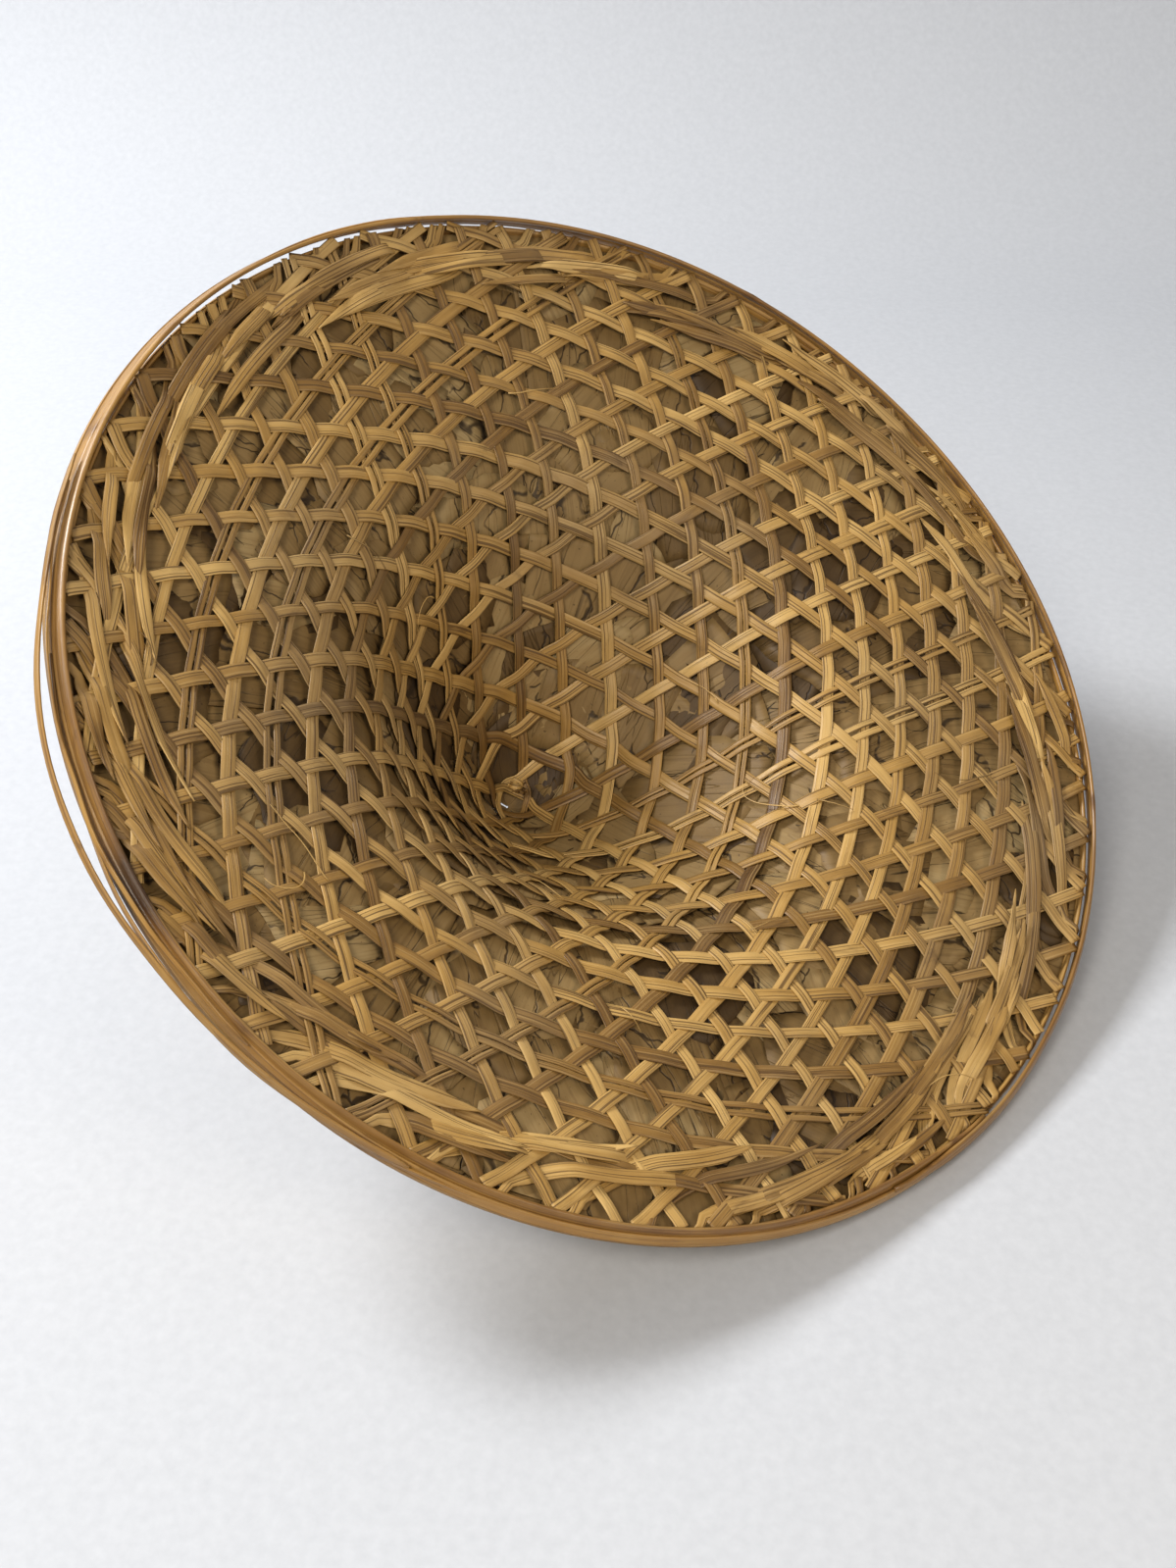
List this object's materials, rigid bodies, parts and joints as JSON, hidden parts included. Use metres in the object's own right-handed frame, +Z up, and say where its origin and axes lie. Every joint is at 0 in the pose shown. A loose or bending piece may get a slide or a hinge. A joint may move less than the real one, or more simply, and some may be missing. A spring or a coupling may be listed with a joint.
{
  "type": "conical hat",
  "caption": "Wide conical sun and rain hat of open hexagonal bamboo weave in two layers with a leaf lining between them and split bamboo rim hoops.",
  "frame": {"origin": "on the hat's axis, in the plane the rim rests on", "axes": "+Z up along the axis towards the tip of the crown; the sprung loose splint is centred 45 degrees below +X, towards -Y"},
  "size_m": [0.416, 0.416, 0.1284],
  "materials": {
    "inner_strip": "satin split bamboo",
    "outer_strip": "weathered split bamboo",
    "leaf": "matte dried leaf",
    "hoop": "satin bamboo skin",
    "thin_splint": "satin split bamboo"
  },
  "bodies": {
    "root": {"base_hoop": "hoop", "brim_leaf_1": "leaf", "brim_leaf_2": "leaf", "brim_leaf_3": "leaf", "brim_leaf_4": "leaf", "brim_leaf_5": "leaf", "brim_leaf_6": "leaf", "brim_leaf_7": "leaf", "brim_leaf_8": "leaf", "core_hoop": "hoop", "crown_leaf_1": "leaf", "crown_leaf_2": "leaf", "crown_leaf_3": "leaf", "crown_leaf_4": "leaf", "crown_leaf_5": "leaf", "crown_leaf_6": "leaf", "inner_strips_a": "inner_strip", "inner_strips_b": "inner_strip", "inner_strips_c": "inner_strip", "inner_strips_d": "inner_strip", "inner_strips_e": "inner_strip", "inner_strips_f": "inner_strip", "inner_strips_g": "inner_strip", "inner_strips_h": "inner_strip", "inner_strips_i": "inner_strip", "inner_strips_j": "inner_strip", "inner_strips_k": "inner_strip", "inner_strips_l": "inner_strip", "inner_strips_m": "inner_strip", "inner_strips_n": "inner_strip", "loose_splint": "thin_splint", "outer_hoop": "hoop", "outer_strips_a": "outer_strip", "outer_strips_b": "outer_strip", "outer_strips_c": "outer_strip", "outer_strips_d": "outer_strip", "outer_strips_e": "outer_strip", "outer_strips_f": "outer_strip", "outer_strips_g": "outer_strip", "outer_strips_h": "outer_strip", "outer_strips_i": "outer_strip", "outer_strips_j": "outer_strip", "outer_strips_k": "outer_strip", "outer_strips_l": "outer_strip", "outer_strips_m": "outer_strip", "outer_strips_n": "outer_strip", "tip_curl": "inner_strip", "tip_leaf": "leaf", "top_hoop": "hoop"}
  },
  "joints": []
}
